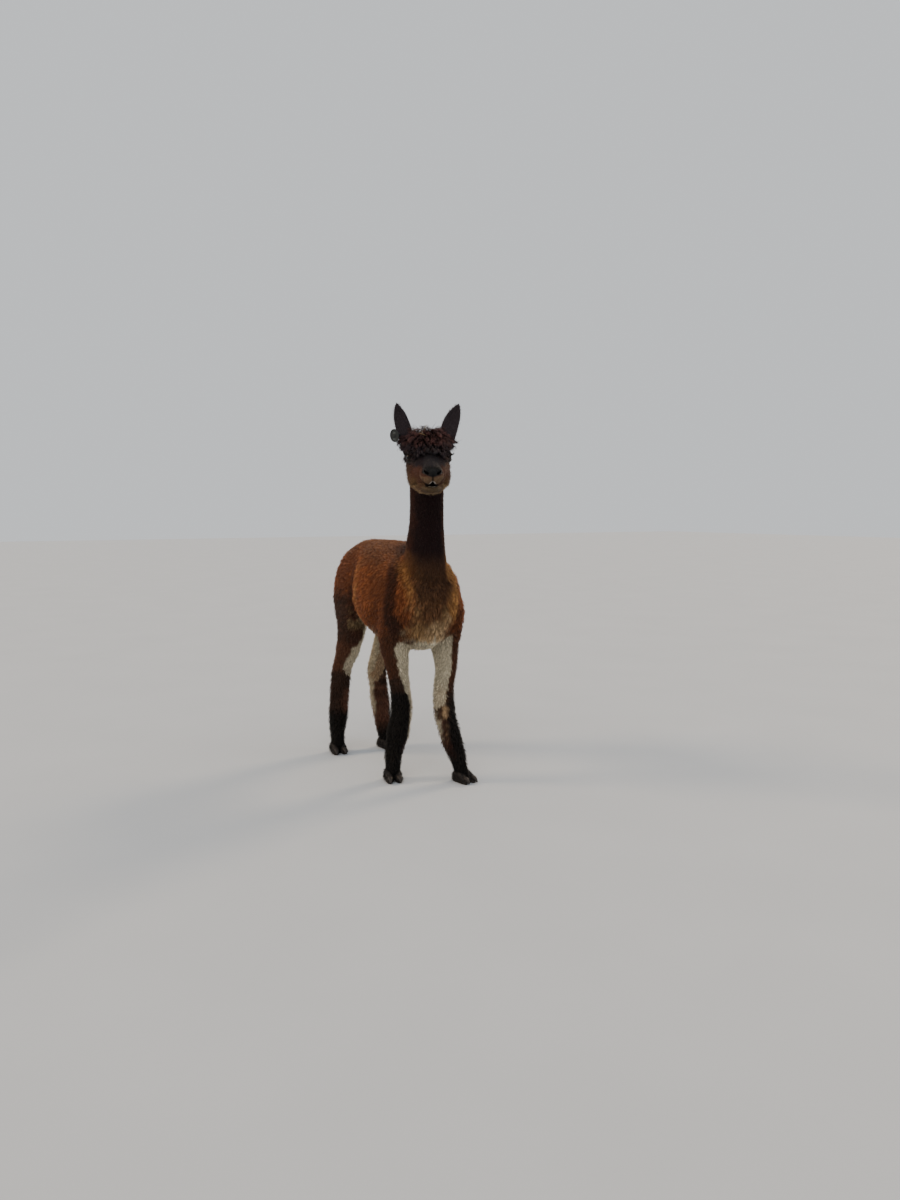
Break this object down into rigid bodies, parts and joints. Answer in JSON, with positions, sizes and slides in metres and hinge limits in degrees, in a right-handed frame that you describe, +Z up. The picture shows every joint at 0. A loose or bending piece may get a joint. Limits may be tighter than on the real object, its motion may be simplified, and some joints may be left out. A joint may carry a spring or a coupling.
{
  "type": "alpaca",
  "caption": "Standing, lately shorn alpaca on four two-toed feet, long neck upright, head turned a little to its right, with a plain round ear tag.",
  "frame": {"origin": "on the floor under the middle of the animal's bounding box", "axes": "+Z up, -Y the way the body faces, +X the animal's left side"},
  "size_m": [0.3597, 1.0632, 1.412],
  "materials": {
    "fleece": "short crimped fleece, matt, with tan and cream markings",
    "face": "short dense face hair",
    "ear": "fine dark ear hair",
    "shin": "dense dark leg hair, matt",
    "sole": "soft leathery toe pad",
    "nail": "smooth horn, satin",
    "eye": "wet, glossy, very dark brown",
    "tag": "flexible moulded plastic, satin, bare",
    "tooth": "ivory, slightly worn"
  },
  "bodies": {
    "root": {"ear_left": "ear", "ear_right": "ear", "ear_tag_disc": "tag", "ear_tag_stud": "tag", "eye_left": "eye", "eye_right": "eye", "front_left_lower_leg": "shin", "front_left_nail_inner": "nail", "front_left_nail_outer": "nail", "front_left_toe_inner": "sole", "front_left_toe_outer": "sole", "front_left_upper_leg": "fleece", "front_right_lower_leg": "shin", "front_right_nail_inner": "nail", "front_right_nail_outer": "nail", "front_right_toe_inner": "sole", "front_right_toe_outer": "sole", "front_right_upper_leg": "fleece", "head": "face", "hind_left_lower_leg": "shin", "hind_left_nail_inner": "nail", "hind_left_nail_outer": "nail", "hind_left_toe_inner": "sole", "hind_left_toe_outer": "sole", "hind_left_upper_leg": "fleece", "hind_right_lower_leg": "shin", "hind_right_nail_inner": "nail", "hind_right_nail_outer": "nail", "hind_right_toe_inner": "sole", "hind_right_toe_outer": "sole", "hind_right_upper_leg": "fleece", "lower_incisors": "tooth", "lower_jaw": "face", "neck": "fleece", "tail": "fleece", "trunk": "fleece"}
  },
  "joints": []
}
